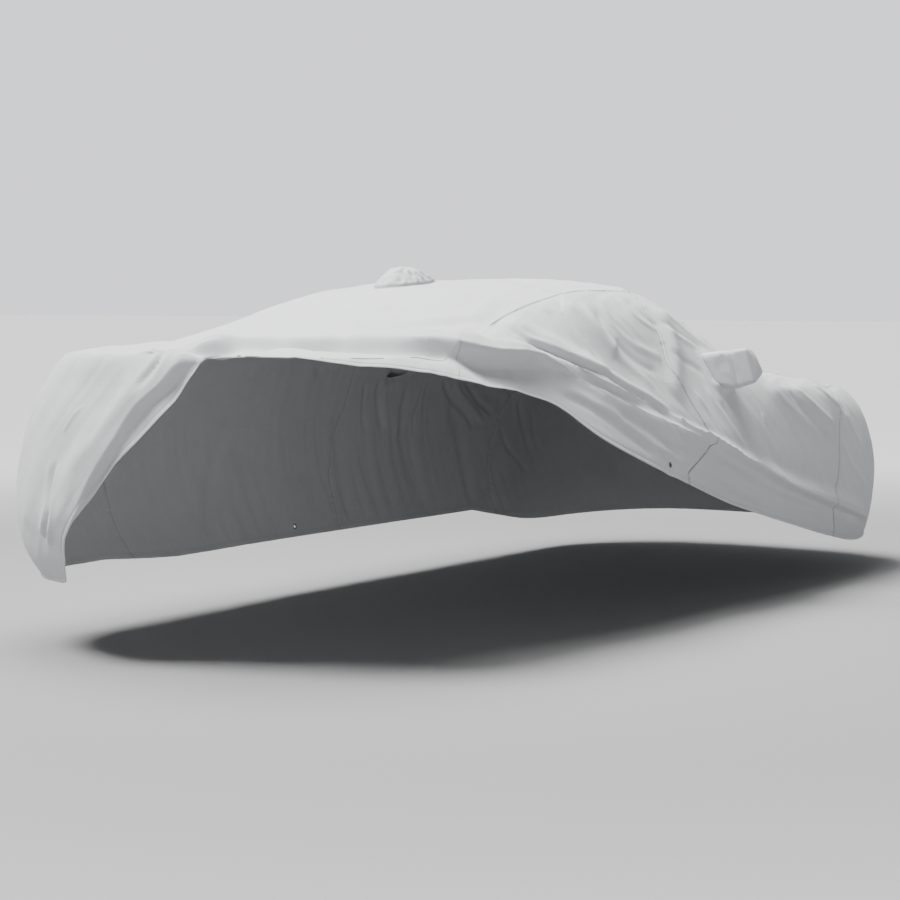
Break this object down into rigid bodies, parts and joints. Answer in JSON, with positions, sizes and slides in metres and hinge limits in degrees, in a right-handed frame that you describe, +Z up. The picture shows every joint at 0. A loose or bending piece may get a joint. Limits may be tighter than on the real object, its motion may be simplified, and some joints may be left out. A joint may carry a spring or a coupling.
{
  "type": "car cover",
  "caption": "Fitted outdoor cloth cover for a coupe, shown with its right rear quarter turned up, with mirror and antenna pockets and hem eyelets.",
  "frame": {"origin": "the rest point, under the middle of the roof panel on the inner side of the cloth", "axes": "+X to the cover's right side, +Y towards its nose, +Z up"},
  "size_m": [2.1256, 4.7043, 1.2901],
  "materials": {
    "cover_cloth": "matt light grey non-woven cloth with a fine bonded texture",
    "eyelet_metal": "dull dark plated metal"
  },
  "bodies": {
    "root": {"roof_panel": "cover_cloth", "deck_panel": "cover_cloth", "hood_panel": "cover_cloth", "nose_panel": "cover_cloth", "tail_panel": "cover_cloth", "left_window_panel": "cover_cloth", "right_window_panel": "cover_cloth", "left_quarter_panel": "cover_cloth", "right_quarter_panel": "cover_cloth", "left_front_panel": "cover_cloth", "right_front_panel": "cover_cloth", "left_eyelet_strip": "cover_cloth", "right_eyelet_strip": "cover_cloth", "left_mirror_sleeve": "cover_cloth", "right_mirror_sleeve": "cover_cloth", "left_mirror_end": "cover_cloth", "right_mirror_end": "cover_cloth", "antenna_pocket": "cover_cloth", "left_eyelet": "eyelet_metal", "right_eyelet": "eyelet_metal"}
  },
  "joints": []
}
